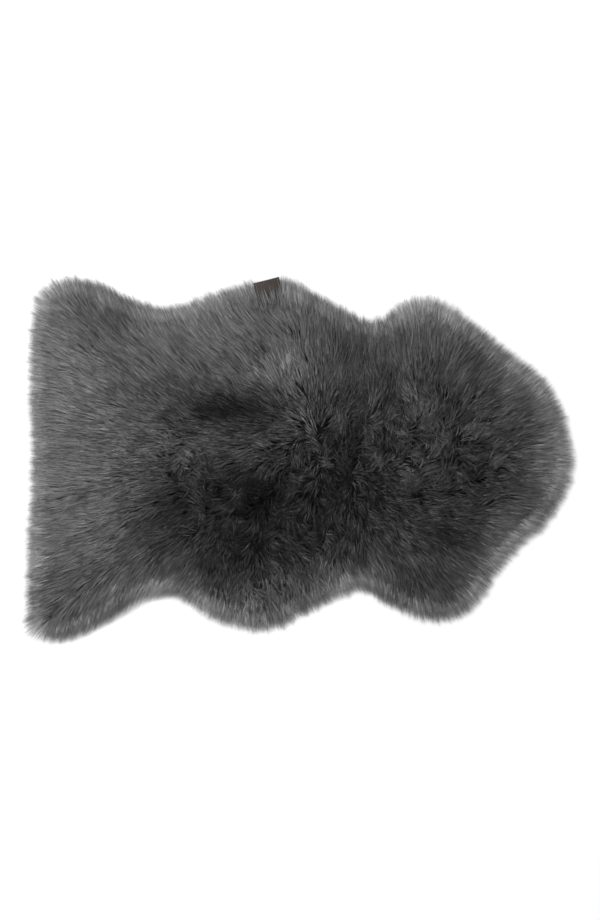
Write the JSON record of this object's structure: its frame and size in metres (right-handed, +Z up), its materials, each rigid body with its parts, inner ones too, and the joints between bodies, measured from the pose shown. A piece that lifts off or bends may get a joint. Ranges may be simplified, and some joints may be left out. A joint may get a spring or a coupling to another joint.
{
  "type": "sheepskin rug",
  "caption": "Natural-shaped sheepskin rug with long, tousled wool on a thin tanned hide, and a small leather tab sewn to one flank.",
  "frame": {"origin": "on the floor, under the middle of the rug's own box", "axes": "+X along the back towards the neck end, +Y towards the flank with the tab, +Z up out of the wool"},
  "size_m": [0.948, 0.6372, 0.0586],
  "materials": {
    "wool": "long combed wool, dyed dark grey, paler where it thins at the rim",
    "hide": "tanned suede, matt",
    "tab": "dark brown smooth leather, satin"
  },
  "bodies": {
    "root": {"wool": "wool", "hide": "hide", "tab": "tab"}
  },
  "joints": []
}
